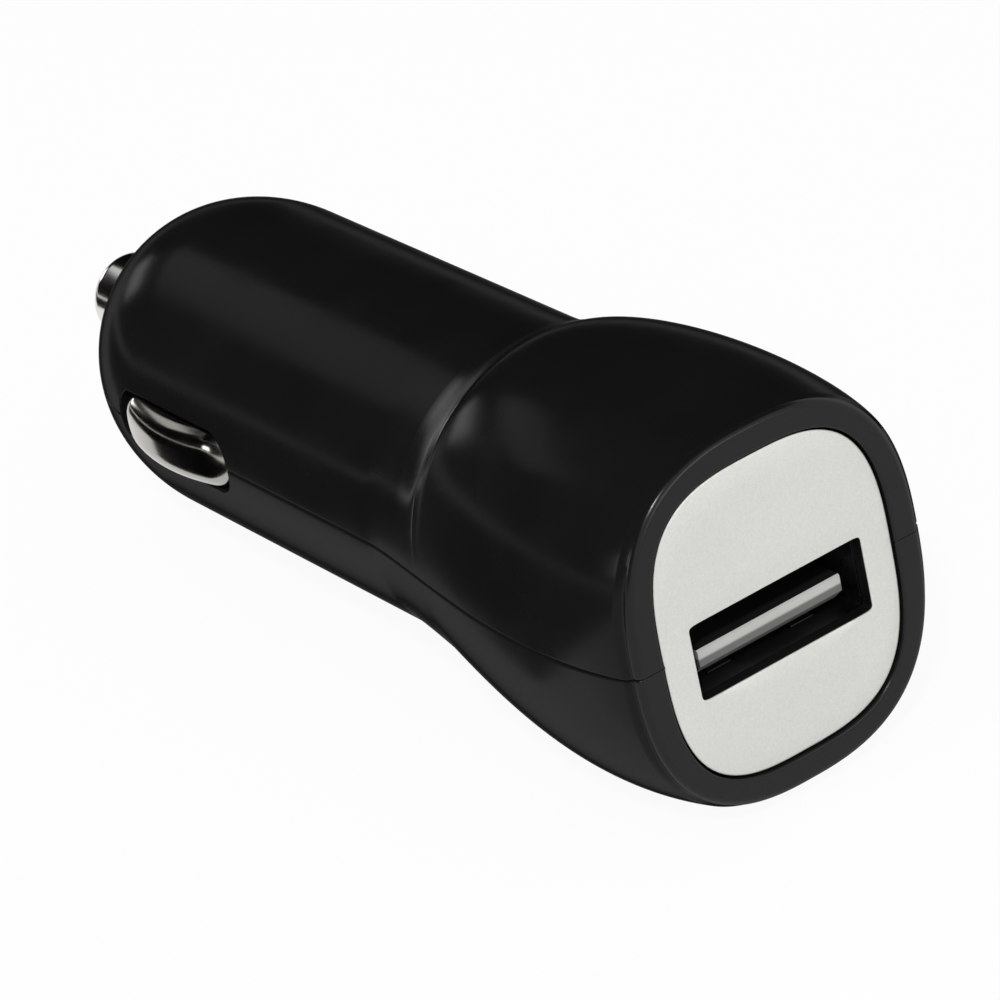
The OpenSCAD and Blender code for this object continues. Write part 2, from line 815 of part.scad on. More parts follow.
// Converter chip under the board, with four leads on each side
module converter_chip() {
    lead_x = (chip_w + lead_out - lead_lap) / 2;
    color("#232325")
        union() {
            translate([-chip_w / 2, chip_y - chip_len / 2, under_z - chip_h])
                cube([chip_w, chip_len, chip_h - chip_foot]);
            for (s = [-1, 1], k = [-1.5:1:1.5])
                translate([s * lead_x, chip_y + k * lead_pitch, under_z - lead_t / 2])
                    cube([lead_out + lead_lap, lead_w, lead_t], center = true);
        }
}

// Rectifier under the board, with one broad lead at each end
module rectifier_diode() {
    diode_foot_z = under_z - diode_h / 2;
    color("#2b2b2e")
        union() {
            translate([-diode_w / 2, diode_y - diode_len / 2, under_z - diode_h])
                cube([diode_w, diode_len, diode_h - diode_foot]);
            for (s = [-1, 1])
                translate([-diode_lead_w / 2, diode_y + (s * diode_len - diode_lead_len) / 2, diode_foot_z])
                    cube([diode_lead_w, diode_lead_len, under_z - diode_foot_z]);
        }
}

// Row of small blocks under the board, each standing on it
module chip_row(count, x, y, pitch, size) {
    for (k = [0:count - 1])
        translate([x - size[0] / 2, y + k * pitch, under_z - size[2]])
            cube(size);
}

module resistors() {
    size = [resistor_len, resistor_w, resistor_h];
    color("#17181a")
        for (s = [-1, 1])
            chip_row(4, s * resistor_x, resistor_y, resistor_pitch, size);
}

module ceramic_capacitors() {
    size = [ceramic_len, ceramic_w, ceramic_h];
    color("#a98b63")
        for (s = [-1, 1])
            chip_row(2, s * ceramic_x, ceramic_y, ceramic_pitch, size);
}

upper_shell();
lower_shell();
face_panel();
usb_can();
usb_tongue();
for (i = [0:3])
    usb_pin(i);
tip_contact();
tip_spring();
spring_seat();
side_contact_left();
side_contact_right();
circuit_board();
coil_core();
coil_winding();
input_capacitor();
output_capacitor();
converter_chip();
rectifier_diode();
resistors();
ceramic_capacitors();
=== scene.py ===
# %% [markdown]
# # A car USB charger plug
# The real object is a short moulded plug for a 12 V car socket. A round black barrel
# carries the sprung contacts, and a squarish, bulging head carries a silver face with a
# USB port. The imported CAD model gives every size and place, so this script starts from
# it, replaces the pieces whose edges and curves deserve more care, and dresses the rest.

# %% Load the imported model
import math

import bmesh
import bpy
import numpy as np
from mathutils import Matrix, Vector


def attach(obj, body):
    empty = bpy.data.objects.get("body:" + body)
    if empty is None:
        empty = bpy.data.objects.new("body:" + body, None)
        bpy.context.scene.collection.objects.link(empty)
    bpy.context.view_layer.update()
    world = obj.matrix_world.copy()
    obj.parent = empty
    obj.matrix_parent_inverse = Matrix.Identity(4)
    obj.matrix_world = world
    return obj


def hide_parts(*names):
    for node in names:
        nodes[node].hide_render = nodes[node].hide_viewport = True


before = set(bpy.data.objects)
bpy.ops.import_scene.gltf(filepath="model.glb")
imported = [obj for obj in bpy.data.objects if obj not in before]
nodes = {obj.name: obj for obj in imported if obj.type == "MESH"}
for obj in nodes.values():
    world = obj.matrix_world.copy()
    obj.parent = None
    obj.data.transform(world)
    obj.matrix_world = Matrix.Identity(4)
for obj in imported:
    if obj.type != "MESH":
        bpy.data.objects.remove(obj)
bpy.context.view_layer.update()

# %% [markdown]
# ## Camera
# The photograph looks down on the plug from the front left, with a long lens and the
# camera rolled, so the barrel runs away to the upper left. A camera could be placed by
# eye, but the outline, the face's edge and the slot's corners fix it far better: the
# angles, the distance and the lens below are a least-squares fit to those points.

# %% Place the camera
MM = 0.001
VIEW_AZIMUTH = math.radians(-30.05)
VIEW_ELEVATION = math.radians(27.41)
VIEW_ROLL = math.radians(-12.59)
VIEW_DISTANCE = 346.6 * MM
VIEW_TARGET = np.array([0.0, 8.65, 0.0]) * MM
VIEW_OFFSET = np.array([1.124, -2.38]) * MM
LENS_IN_PICTURE_WIDTHS = 5.6268
SENSOR_MM = 36.0


def camera_axes(azimuth, elevation, roll):
    """Right, up and back of a camera. Back is (sin az cos el, -cos az cos el, sin el);
    right and up are square to it, and then turn about it by the roll."""
    back = np.array([math.sin(azimuth) * math.cos(elevation),
                     -math.cos(azimuth) * math.cos(elevation),
                     math.sin(elevation)])
    level = np.array([math.cos(azimuth), math.sin(azimuth), 0.0])
    upright = np.cross(back, level)
    right = math.cos(roll) * level + math.sin(roll) * upright
    up = -math.sin(roll) * level + math.cos(roll) * upright
    return right, up, back


right, up, back = camera_axes(VIEW_AZIMUTH, VIEW_ELEVATION, VIEW_ROLL)
place = VIEW_TARGET + VIEW_OFFSET[0] * right + VIEW_OFFSET[1] * up + VIEW_DISTANCE * back
camera_data = bpy.data.cameras.new("product_camera")
camera_data.sensor_width = SENSOR_MM
camera_data.lens = LENS_IN_PICTURE_WIDTHS * SENSOR_MM
camera_data.clip_start = 0.01
camera = bpy.data.objects.new("product_camera", camera_data)
turn = Matrix((right, up, back)).transposed().to_4x4()
camera.matrix_world = Matrix.Translation(Vector(place)) @ turn
bpy.context.scene.collection.objects.link(camera)
bpy.context.scene.camera = camera
print("camera at", [round(float(v), 4) for v in place], "lens", round(camera_data.lens, 1), "mm")

# %% [markdown]
# ## Meshes from arrays
# Every new piece is a grid of points worked out with numpy. One helper turns such a grid
# into quads, a second one makes the mesh, merges the points that meet at a pole, turns
# the faces outwards and prints whether the surface is closed.


# %% Helpers for grids and meshes
def grid_quads(rows, columns, start=0, close_rows=False, close_columns=False):
    """Quads of a grid whose point (i, j) has the number start + i * columns + j."""
    i = np.arange(rows if close_rows else rows - 1)
    j = np.arange(columns if close_columns else columns - 1)
    i, j = np.meshgrid(i, j, indexing="ij")
    i_next = (i + 1) % rows
    j_next = (j + 1) % columns
    corners = (i * columns + j, i_next * columns + j, i_next * columns + j_next, i * columns + j_next)
    return (start + np.stack(corners, axis=-1)).reshape(-1, 4)


def make_piece(name, points, faces, sharp_from=35.0, merge=1e-7):
    """Mesh object from points in millimetres and a list of faces, faces outwards."""
    mesh = bpy.data.meshes.new(name)
    places = (np.asarray(points).reshape(-1, 3) * MM).tolist()
    mesh.from_pydata(places, [], [list(map(int, f)) for f in faces])
    work = bmesh.new()
    work.from_mesh(mesh)
    bmesh.ops.remove_doubles(work, verts=work.verts, dist=merge)
    bmesh.ops.dissolve_degenerate(work, edges=work.edges, dist=merge)
    bmesh.ops.recalc_face_normals(work, faces=work.faces)
    open_edges = sum(1 for edge in work.edges if len(edge.link_faces) != 2)
    volume = work.calc_volume(signed=True)
    if volume < 0 and open_edges == 0:
        bmesh.ops.reverse_faces(work, faces=work.faces)
    work.to_mesh(mesh)
    work.free()
    mesh.shade_smooth()
    mesh.set_sharp_from_angle(angle=math.radians(sharp_from))
    piece = bpy.data.objects.new(name, mesh)
    bpy.context.scene.collection.objects.link(piece)
    print(f"{name}: {len(mesh.polygons)} faces, {open_edges} open edges, {abs(volume) / MM ** 3:.0f} mm3")
    return piece


def quarter(steps):
    """Angles of a quarter turn, from 0 to 90 degrees, in radians."""
    return np.linspace(0.0, math.pi / 2, steps + 1)


# %% [markdown]
# ## The form of the head
# The head is a lofted moulding: at the face its outline is a squarish superellipse, at
# the shoulder it is nearly the barrel's circle, and between them it swells. Four plain
# formulas carry all of that: a straight line plus a swell for the half width, for the
# height above the axis and for the height below it, and a squareness that falls to 2, a
# circle's, at the shoulder. The top is highest nearer the shoulder and drops to it
# steeply, which leaves a crease. The sides and the underside run on along the barrel for
# a few millimetres, so there the crease fades out.

# %% Sizes of the barrel and the head, in millimetres
BARREL_R = 10.4
BARREL_LEN = 32.9
NOSE_LEN = 10.1
NOSE_Y = BARREL_LEN + NOSE_LEN
NOSE_WALL = 1.6
WALL = 1.5
BORE_R = BARREL_R - WALL
TIP_R = 3.0
TIP_GAP = 0.2
TIP_HOLE_R = TIP_R + TIP_GAP
NOSE_FLAT_W = 0.6
NOSE_FLAT_R = TIP_HOLE_R + NOSE_FLAT_W
GUIDE_R = 4.4
GUIDE_WALL = 0.8
FLANGE_Y = NOSE_Y - NOSE_WALL
SEAT_Y = 29.6
HEAD_LEN = 21.4
FLARE_LEN = 6.1
FACE_W = 21.0
FACE_H = 23.8
BULGE_W = 1.6
BULGE_TOP = 1.7
BULGE_LOW = 1.25
BULGE_W_POWERS = (0.8, 1.4)
BULGE_TOP_POWERS = (1.3, 0.4)
BULGE_LOW_POWERS = (1.0, 1.5)
SQUARENESS = 2.6
RIM_W = 1.9
RIM_ROUND = 0.45
PANEL_SQUARENESS = 3.05
PANEL_T = 0.9
PANEL_GAP = 0.12
PANEL_RECESS = 0.2
FACE_Y = -HEAD_LEN
PANEL_Y = FACE_Y + PANEL_RECESS
PANEL_BACK_Y = PANEL_Y + PANEL_T
LEDGE_W = 0.9
LEDGE_T = 1.1
LEDGE_SLOPE = 0.9


def reach(angle, half_w, half_h, squareness):
    """Distance from the axis to the superellipse |x/w|^n + |z/h|^n = 1 at an angle."""
    across = np.abs(np.cos(angle)) / half_w
    upright = np.abs(np.sin(angle)) / half_h
    return (across ** squareness + upright ** squareness) ** (-1.0 / squareness)


def swell(t, powers):
    """Share of a bulge at t: (t / m)^p ((1 - t) / (1 - m))^q, which is 1 at m = p / (p + q)."""
    rise, fall = powers
    top = rise / (rise + fall)
    return (t / top) ** rise * (np.clip(1 - t, 0, 1) / (1 - top)) ** fall


def run_on(y, size, bulge, powers):
    """Half size at y: a line from the face to the flare's end on the barrel, plus its swell."""
    t = (y - FACE_Y) / (HEAD_LEN + FLARE_LEN)
    return size / 2 * (1 - t) + BARREL_R * t + bulge * swell(t, powers)


def head_half_w(y):
    """Half width at y, with the flare."""
    return run_on(y, FACE_W, BULGE_W, BULGE_W_POWERS)


def head_half_low(y):
    """Height below the axis at y, with the flare."""
    return run_on(y, FACE_H, BULGE_LOW, BULGE_LOW_POWERS)


def head_half_top(y):
    """Height above the axis at y, in the same way, but ending at the shoulder."""
    t = np.minimum(1, (y - FACE_Y) / HEAD_LEN)
    return FACE_H / 2 * (1 - t) + BARREL_R * t + BULGE_TOP * swell(t, BULGE_TOP_POWERS)


def head_squareness(y):
    """Squareness of the outline: 2 + (s - 2)(1 - t^2), a circle's from the shoulder on."""
    t = (y - FACE_Y) / HEAD_LEN
    return 2 + (SQUARENESS - 2) * np.clip(1 - t * t, 0, 1)


half = FACE_Y / 2
print("head at half length:", head_half_w(half) * 2, "x", head_half_top(half) + head_half_low(half), "mm")

# %% [markdown]
# ## The shell halves
# Each half is one injection moulding, 1.5 mm thick. It could be lofted by hand and
# given thickness by a modifier, but a closed profile carried through half a turn gives
# outside, rim, panel seat, ledge and hollow in one grid, with the real wall. The rows
# run along the profile and the columns round the axis. The first columns lie a few
# hundredths of a millimetre apart, so the parting edge is softly rounded, and two such
# edges make the fine parting line of the real thing.

# %% Profile of the shell: place along the axis, half width, half height, squareness
SHOULDER_FILLET = 1.0
RIM_EDGE = 0.12
HOLE_EDGE = 0.15
PARTING_GAP = 0.02
PARTING_EDGE = 0.13
PARTING_COLUMNS = np.array([0.0, 0.02, 0.05, 0.09, PARTING_EDGE, 0.22])
ROW_GAP = 0.01
CONTACT_W = 4.0
CONTACT_GAP = 0.15
CONTACT_MID_Y = 28.4
CONTACT_LEN = 12.4
CONTACT_END_R = CONTACT_W / 2 + CONTACT_GAP
OPENING_START_Y = CONTACT_MID_Y - CONTACT_LEN / 2 - CONTACT_GAP
OPENING_END_Y = CONTACT_MID_Y + CONTACT_LEN / 2 + 2 * CONTACT_GAP
OPENING_HALF = CONTACT_W / 2 + CONTACT_GAP


def rows_of(y, half_w, half_h=None, squareness=2.0):
    """Profile rows (y, w, h, n) from arrays or single numbers."""
    half_h = half_w if half_h is None else half_h
    return np.stack(np.broadcast_arrays(*map(np.atleast_1d, (y, half_w, half_h, squareness))), axis=-1)


seat_w = FACE_W / 2 - RIM_W
seat_h = FACE_H / 2 - RIM_W


def rim_rows():
    """Rim: a quarter round at the panel's edge, a flat face, a quarter round outside."""
    a = quarter(4)
    inner = rows_of(FACE_Y + RIM_EDGE * (1 - np.sin(a)), seat_w + RIM_EDGE * (1 - np.cos(a)),
                    seat_h + RIM_EDGE * (1 - np.cos(a)), PANEL_SQUARENESS)
    across = np.linspace(RIM_EDGE / RIM_W, 1 - RIM_ROUND / RIM_W, 7)[1:-1]
    face = rows_of(FACE_Y, seat_w + across * RIM_W, seat_h + across * RIM_W,
                   PANEL_SQUARENESS + across * (SQUARENESS - PANEL_SQUARENESS))
    b = quarter(8)
    drop = RIM_ROUND * (1 - np.sin(b))
    outer = rows_of(FACE_Y + RIM_ROUND * (1 - np.cos(b)), FACE_W / 2 - drop, FACE_H / 2 - drop, SQUARENESS)
    return np.concatenate([inner, face, outer])


def head_rows(top):
    """Head from the rim to the end of the flare, with rows closer together where it drops.
    The upper half has a quarter-round hollow at the shoulder; the underside runs on."""
    first = FACE_Y + RIM_ROUND
    y = first * (1 - np.sin(math.pi / 2 * np.linspace(0, 1, 120)[1:]))
    flare_y = np.linspace(SHOULDER_FILLET, FLARE_LEN, 20)[1:]
    if not top:
        y = np.concatenate([y, [SHOULDER_FILLET], flare_y])
        return rows_of(y, head_half_w(y), head_half_low(y), head_squareness(y))
    foot = BARREL_R + SHOULDER_FILLET
    head = rows_of(y, head_half_w(y), np.maximum(head_half_top(y), foot), head_squareness(y))
    a = quarter(8)[1:]
    y = SHOULDER_FILLET * (1 - np.cos(a))
    hollow = rows_of(y, head_half_w(y), foot - SHOULDER_FILLET * np.sin(a))
    return np.concatenate([head, hollow, rows_of(flare_y, head_half_w(flare_y), BARREL_R)])


def opening_y():
    """Places of the rows along a contact's opening, closer together at its two ends."""
    s = 0.5 - 0.5 * np.cos(np.linspace(0, math.pi, 61))
    return OPENING_START_Y + (OPENING_END_Y - OPENING_START_Y) * s


def barrel_rows():
    """Barrel before the opening and beside it: circles, which at its far end follow the nose."""
    before = rows_of(np.linspace(FLARE_LEN + 0.5, OPENING_START_Y - ROW_GAP, 14), BARREL_R)
    y = opening_y()
    beside = rows_of(y, np.where(y < BARREL_LEN, BARREL_R, nose_radius(y)))
    return before, beside


def nose_radius(y, inset=0.0):
    """Radius of the nose: the quarter ellipse r = f + (R - f) sqrt(1 - (dy / L)^2), less an inset."""
    along = np.clip((y - BARREL_LEN) / (NOSE_LEN - inset), 0, 1)
    return NOSE_FLAT_R + (BARREL_R - NOSE_FLAT_R - inset) * np.sqrt(1 - along ** 2)


def nose_rows(first_y):
    """Nose from the opening's end to the flat ring, then the edge of the contact's hole."""
    start = math.asin((first_y - BARREL_LEN) / NOSE_LEN)
    a = np.linspace(start, math.pi / 2, 34)[1:]
    arc = rows_of(BARREL_LEN + NOSE_LEN * np.sin(a), NOSE_FLAT_R + (BARREL_R - NOSE_FLAT_R) * np.cos(a))
    b = quarter(4)
    edge = rows_of(NOSE_Y - HOLE_EDGE * (1 - np.cos(b)), TIP_HOLE_R + HOLE_EDGE * (1 - np.sin(b)))
    return np.concatenate([arc, edge])


def inside_rows(top):
    """Inside, from the contact's hole back to the panel seat, in three runs."""
    y_end = OPENING_END_Y + 0.05
    a = np.linspace(math.asin((y_end - BARREL_LEN) / (NOSE_LEN - WALL)), math.pi / 2, 24)
    arc_r = NOSE_FLAT_R + (BARREL_R - NOSE_FLAT_R - WALL) * np.cos(a)
    arc_y = BARREL_LEN + (NOSE_LEN - WALL) * np.sin(a)
    keep = arc_r > GUIDE_R + GUIDE_WALL
    last_y = arc_y[keep][-1]
    guide = rows_of([FLANGE_Y, FLANGE_Y, SEAT_Y, SEAT_Y, last_y],
                    [TIP_HOLE_R, GUIDE_R, GUIDE_R, GUIDE_R + GUIDE_WALL, GUIDE_R + GUIDE_WALL])
    tip = np.concatenate([guide, rows_of(arc_y[keep][::-1], arc_r[keep][::-1])])
    y = opening_y()[::-1]
    beside = rows_of(y, np.minimum(BORE_R, nose_radius(y) - WALL))
    y = np.linspace(-0.1, PANEL_BACK_Y + LEDGE_T + LEDGE_SLOPE, 26)
    half_h = head_half_top(y) if top else head_half_low(y)
    hollow = rows_of(y, head_half_w(y) - WALL, half_h - WALL, head_squareness(y))
    ledge = rows_of([PANEL_BACK_Y + LEDGE_T, PANEL_BACK_Y, PANEL_BACK_Y],
                    np.array([seat_w - PANEL_GAP - LEDGE_W] * 2 + [seat_w]),
                    np.array([seat_h - PANEL_GAP - LEDGE_W] * 2 + [seat_h]), PANEL_SQUARENESS)
    bore = rows_of(np.linspace(OPENING_START_Y - ROW_GAP, FLARE_LEN, 10), BORE_R)
    return tip, beside, np.concatenate([bore, hollow, ledge])


def opening_half_height(y):
    """Half height of the opening at y: straight sides, and an arc at each end."""
    start_r = CONTACT_END_R + CONTACT_GAP
    end_r = CONTACT_END_R + 2 * CONTACT_GAP
    near = np.clip(OPENING_START_Y + start_r - y, 0, start_r)
    far = np.clip(y - OPENING_END_Y + end_r, 0, end_r)
    arcs = np.minimum(np.sqrt(start_r ** 2 - near ** 2), np.sqrt(end_r ** 2 - far ** 2))
    return np.minimum(arcs, OPENING_HALF)


def half_turn(rows, beside, columns=150):
    """Profile carried through half a turn: angle and distance of every point, and how much
    the parting edge takes off in each column. A row starts and ends where the parting plane
    or the opening cuts it, and the outermost columns follow that edge."""
    y, w, h, n = rows.T
    lowest = np.full_like(y, PARTING_GAP)
    lowest[beside] = np.maximum(PARTING_GAP, opening_half_height(y[beside]))
    radius = reach(0.0, w, h, n)
    begin = np.arcsin(lowest / radius)
    edge = PARTING_COLUMNS
    near = edge[None, :] / radius[:, None]
    first = begin[:, None] + near
    span = np.linspace(0, 1, columns)[None, 1:-1]
    left = first[:, -1:]
    middle = left + (math.pi - 2 * left) * span
    angle = np.concatenate([first, middle, math.pi - first[:, ::-1]], axis=1)
    drop = PARTING_EDGE - np.sqrt(np.clip(PARTING_EDGE ** 2 - (PARTING_EDGE - edge) ** 2, 0, None))
    drop[edge >= PARTING_EDGE] = 0
    rim = np.concatenate([drop, np.zeros(columns - 2), drop[::-1]])
    distance = reach(angle, w[:, None], h[:, None], n[:, None])
    return angle, distance, rim


def shell_points(top):
    """One half, above the parting, and the rows where its runs meet. Outer rows lose a hair
    of radius at the parting edge, inner rows don't."""
    before, beside_out = barrel_rows()
    front = np.concatenate([rim_rows(), head_rows(top), before])
    nose = nose_rows(OPENING_END_Y + 0.001)
    tip_in, beside_in, back_in = inside_rows(top)
    rows = np.concatenate([front, beside_out, nose, tip_in, beside_in, back_in])
    a = len(front)
    b = a + len(beside_out)
    c = b + len(nose) + len(tip_in)
    d = c + len(beside_in)
    beside = np.zeros(len(rows), bool)
    beside[a:b] = True
    beside[c:d] = True
    angle, distance, rim = half_turn(rows, beside)
    outside = np.zeros(len(rows))
    outside[:b + len(nose)] = 1.0
    distance = distance - outside[:, None] * rim[None, :]
    points = np.stack([distance * np.cos(angle), np.broadcast_to(rows[:, :1], angle.shape),
                       distance * np.sin(angle)], axis=-1)
    return points, (a, b, c, d)


def shell_faces(rows, columns, marks):
    """Quads round the closed profile, and caps on the parting plane and in the opening."""
    a, b, c, d = marks
    faces = grid_quads(rows, columns, close_rows=True).tolist()
    for column in (0, columns - 1):
        front = list(range(0, a + 1)) + list(range(d - 1, rows))
        nose = list(range(b - 1, c + 1))
        faces.append([k * columns + column for k in front])
        faces.append([k * columns + column for k in nose])
        for k in range(b - a - 1):
            o = a + k
            i = d - 1 - k
            faces.append([q * columns + column for q in (o, o + 1, i - 1, i)])
    return faces


points, marks = shell_points(True)
faces = shell_faces(points.shape[0], points.shape[1], marks)
upper_shell = make_piece("moulded_upper_shell", points, faces, sharp_from=40)
points, marks = shell_points(False)
faces = shell_faces(points.shape[0], points.shape[1], marks)
lower_shell = make_piece("moulded_lower_shell", points * np.array([1, 1, -1]), faces, sharp_from=40)
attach(upper_shell, "housing")
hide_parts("upper_shell")
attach(lower_shell, "housing")
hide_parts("lower_shell")

# %% [markdown]
# ## The face panel
# The silver face is a thin plate, pressed into the rim, with its edges just broken. Its
# surface is a ring between two outlines: the slot, a superellipse with a high power so
# that it has tight corners, and the panel's own outline. Every column runs from one to
# the other, and the rows carry the plate's section all the way round. Only its front is
# silver: the slot's cut edge and the back are coloured black, as painted shade for the
# dark slot.

# %% Face panel
SLOT_W = 12.7
SLOT_H = 4.95
PORT_Z = -1.0
SLOT_SQUARENESS = 26.0
PANEL_EDGE = 0.14
SLOT_EDGE = 0.06
# Depth behind the silver front from which the plate is coloured black, as painted shade.
PAINTED_SHADE_DEPTH = 0.05


def panel_points(columns=720):
    """The plate's section, loop by loop: slot edge, front, outer edge, and the back of both."""
    a = np.linspace(0, 2 * math.pi, columns, endpoint=False)
    slot_r = reach(a, SLOT_W / 2, SLOT_H / 2, SLOT_SQUARENESS)
    slot = np.stack([slot_r * np.cos(a), slot_r * np.sin(a) + PORT_Z], axis=-1)
    rim_r = reach(a, seat_w - PANEL_GAP, seat_h - PANEL_GAP, PANEL_SQUARENESS)
    rim = np.stack([rim_r * np.cos(a), rim_r * np.sin(a)], axis=-1)
    way = rim - slot
    width = np.linalg.norm(way, axis=-1, keepdims=True)
    way = way / width
    q = quarter(4)
    at_slot = [(SLOT_EDGE * (1 - math.cos(v)), SLOT_EDGE * (1 - math.sin(v))) for v in q]
    at_rim = [(PANEL_EDGE * (1 - math.cos(v)), PANEL_EDGE * (1 - math.sin(v))) for v in q[::-1]]
    loops = [(slot + way * d, depth) for d, depth in at_slot]
    loops += [(slot + way * width * k, 0.0) for k in (0.25, 0.5, 0.75)]
    loops += [(rim - way * d, depth) for d, depth in at_rim]
    loops += [(rim, PANEL_T), (slot, PANEL_T)]
    return np.array([np.stack([p[:, 0], np.full(columns, PANEL_Y + depth), p[:, 1]], axis=-1)
                     for p, depth in loops])


points = panel_points()
panel = make_piece("silver_face_panel", points,
                   grid_quads(points.shape[0], points.shape[1], close_rows=True, close_columns=True))
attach(panel, "housing")
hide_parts("face_panel")

# %% [markdown]
# ## The side contacts
# On the real plug each side contact is a strip of nickel-plated sheet, pressed into a
# bow with its edges folded down. It is worked out from its outline seen from the side:
# each column runs from a point of that outline to the nearest point of a spine along
# the middle. The first rows go down the skirt, the next ones roll over the fold, and the
# last ones lie on the bow. Solidify then gives the sheet its thickness.

# %% Side contacts
BOW_RISE = 1.25
BOW_R = ((CONTACT_LEN / 2) ** 2 + BOW_RISE ** 2) / (2 * BOW_RISE)
BOW_TOP_X = BARREL_R + 1.05
FOLD_R = 1.3
SKIRT = 1.1
SHEET_T = 0.4
CROWN_ROWS = [1.5, 1.7, 1.85, CONTACT_W / 2]
TAB_X = 8.15
TAB_LEN = 1.0
TAB_LAP = 1.3
TAB_HALF_W = 1.0


def contact_outline(end_steps=22, side_steps=30):
    """Outline and spine, column by column: two straight sides between two half circles."""
    half = CONTACT_W / 2
    spine_a = CONTACT_MID_Y - CONTACT_LEN / 2 + half
    spine_b = CONTACT_MID_Y + CONTACT_LEN / 2 - half
    q = np.linspace(-math.pi / 2, math.pi / 2, 2 * end_steps + 1)
    nose = np.stack([spine_b + half * np.cos(q), half * np.sin(q)], axis=-1)
    head = np.stack([spine_a - half * np.cos(q), -half * np.sin(q)], axis=-1)
    side = np.linspace(0, 1, side_steps + 2)[1:-1]
    up_side = np.stack([spine_b + (spine_a - spine_b) * side, np.full(side_steps, half)], axis=-1)
    down_side = np.stack([spine_a + (spine_b - spine_a) * side, np.full(side_steps, -half)], axis=-1)
    outline = np.concatenate([nose, up_side, head, down_side])
    spine = np.stack([np.clip(outline[:, 0], spine_a, spine_b), np.zeros(len(outline))], axis=-1)
    return outline, spine


def contact_points():
    """x = bow(y) - fold(d): the bow is a circle's arc, the fold a quarter round at the edge."""
    outline, spine = contact_outline()
    q = quarter(8)
    skirt = FOLD_R + np.linspace(SKIRT, 0, 6)[:-1]
    inset = np.concatenate([np.zeros(len(skirt)), FOLD_R * (1 - np.cos(q)), CROWN_ROWS])
    drop = np.concatenate([skirt, FOLD_R * (1 - np.sin(q)), np.zeros(len(CROWN_ROWS))])
    share = np.clip(1 - inset[:, None, None] / (CONTACT_W / 2), 0, 1)
    plan = spine[None] + (outline - spine)[None] * share
    bow = BOW_TOP_X - BOW_R + np.sqrt(BOW_R ** 2 - (plan[..., 0] - CONTACT_MID_Y) ** 2)
    return np.stack([bow - drop[:, None], plan[..., 0], plan[..., 1]], axis=-1)


def tab_points():
    """Tab under the shell: a plate from the skirt back to the edge of the board."""
    start = CONTACT_MID_Y - CONTACT_LEN / 2
    y = np.array([start - TAB_LEN, start + TAB_LAP])
    z = np.array([-TAB_HALF_W, TAB_HALF_W])
    grid_y, grid_z = np.meshgrid(y, z, indexing="ij")
    return np.stack([np.full_like(grid_y, TAB_X + SHEET_T), grid_y, grid_z], axis=-1)


sheet = contact_points()
tab = tab_points()
contact_verts = np.concatenate([sheet.reshape(-1, 3), tab.reshape(-1, 3)])
contact_faces = np.concatenate([grid_quads(sheet.shape[0], sheet.shape[1], close_columns=True),
                                grid_quads(2, 2, start=sheet.shape[0] * sheet.shape[1])])


def add_sheet(piece, thickness):
    """Gives a surface the thickness of its sheet, measured inwards, with closed edges."""
    solidify = piece.modifiers.new("sheet", "SOLIDIFY")
    solidify.thickness = thickness * MM
    solidify.offset = -1.0
    solidify.use_even_offset = True


for side, name in ((1, "right"), (-1, "left")):
    piece = make_piece(f"pressed_{name}_contact", contact_verts * np.array([side, 1, 1]), contact_faces)
    add_sheet(piece, SHEET_T)
    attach(piece, f"{name}_contact")
    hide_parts(f"side_contact_{name}")

# %% [markdown]
# ## The nose contact
# It is a turned, nickel-plated brass pin with a flange inside the nose. A profile
# carried round the axis is how it is turned on the lathe, so that is how it is made
# here, with its edges broken and a shallow dish in its end.

# %% Nose contact
TIP_END_Y = NOSE_Y + 7.5
TIP_ROUND = 1.3
FLANGE_R = 4.2
FLANGE_T = 1.2
FLANGE_EDGE = 0.1
FLANGE_PLAY = 0.1
HUB_R = 2.05
HUB_LEN = 1.1
DISH = [(1.45, 0.0), (1.25, 0.06), (0.9, 0.14), (0.4, 0.19), (0.0, 0.2)]


def turned(profile, columns=96):
    """Profile of (radius, y) carried round the axis; the points on the axis meet."""
    a = np.linspace(0, 2 * math.pi, columns, endpoint=False)
    radius, y = profile.T
    return np.stack([radius[:, None] * np.cos(a), np.broadcast_to(y[:, None], (len(y), columns)),
                     radius[:, None] * np.sin(a)], axis=-1)


def tip_profile():
    """Hub, flange and shank as (radius, y), then the rounded end and its dish."""
    top = FLANGE_Y - FLANGE_PLAY
    foot = top - FLANGE_T
    b = quarter(12)
    shank = [(0.0, foot - HUB_LEN), (HUB_R, foot - HUB_LEN), (HUB_R, foot),
             (FLANGE_R - FLANGE_EDGE, foot), (FLANGE_R, foot + FLANGE_EDGE),
             (FLANGE_R, top - FLANGE_EDGE), (FLANGE_R - FLANGE_EDGE, top),
             (TIP_R, top), (TIP_R, NOSE_Y + 0.6)]
    end = np.stack([TIP_R - TIP_ROUND * (1 - np.cos(b)), TIP_END_Y - TIP_ROUND * (1 - np.sin(b))], axis=-1)
    dish = [(radius, TIP_END_Y - depth) for radius, depth in DISH]
    return np.concatenate([shank, end, dish])


points = turned(tip_profile())
faces = grid_quads(points.shape[0], points.shape[1], close_columns=True)
tip = make_piece("turned_nose_contact", points, faces)
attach(tip, "nose_contact")
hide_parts("tip_contact")

# %% [markdown]
# ## Shared effects
# Plastic, paint and plating all show the same few things close up: a fine grain, a
# slow unevenness of the gloss, and hair scratches from handling. Each is a node group
# with its own inputs, built once. The groups put out only values and heights, and the
# shader stays in each material.


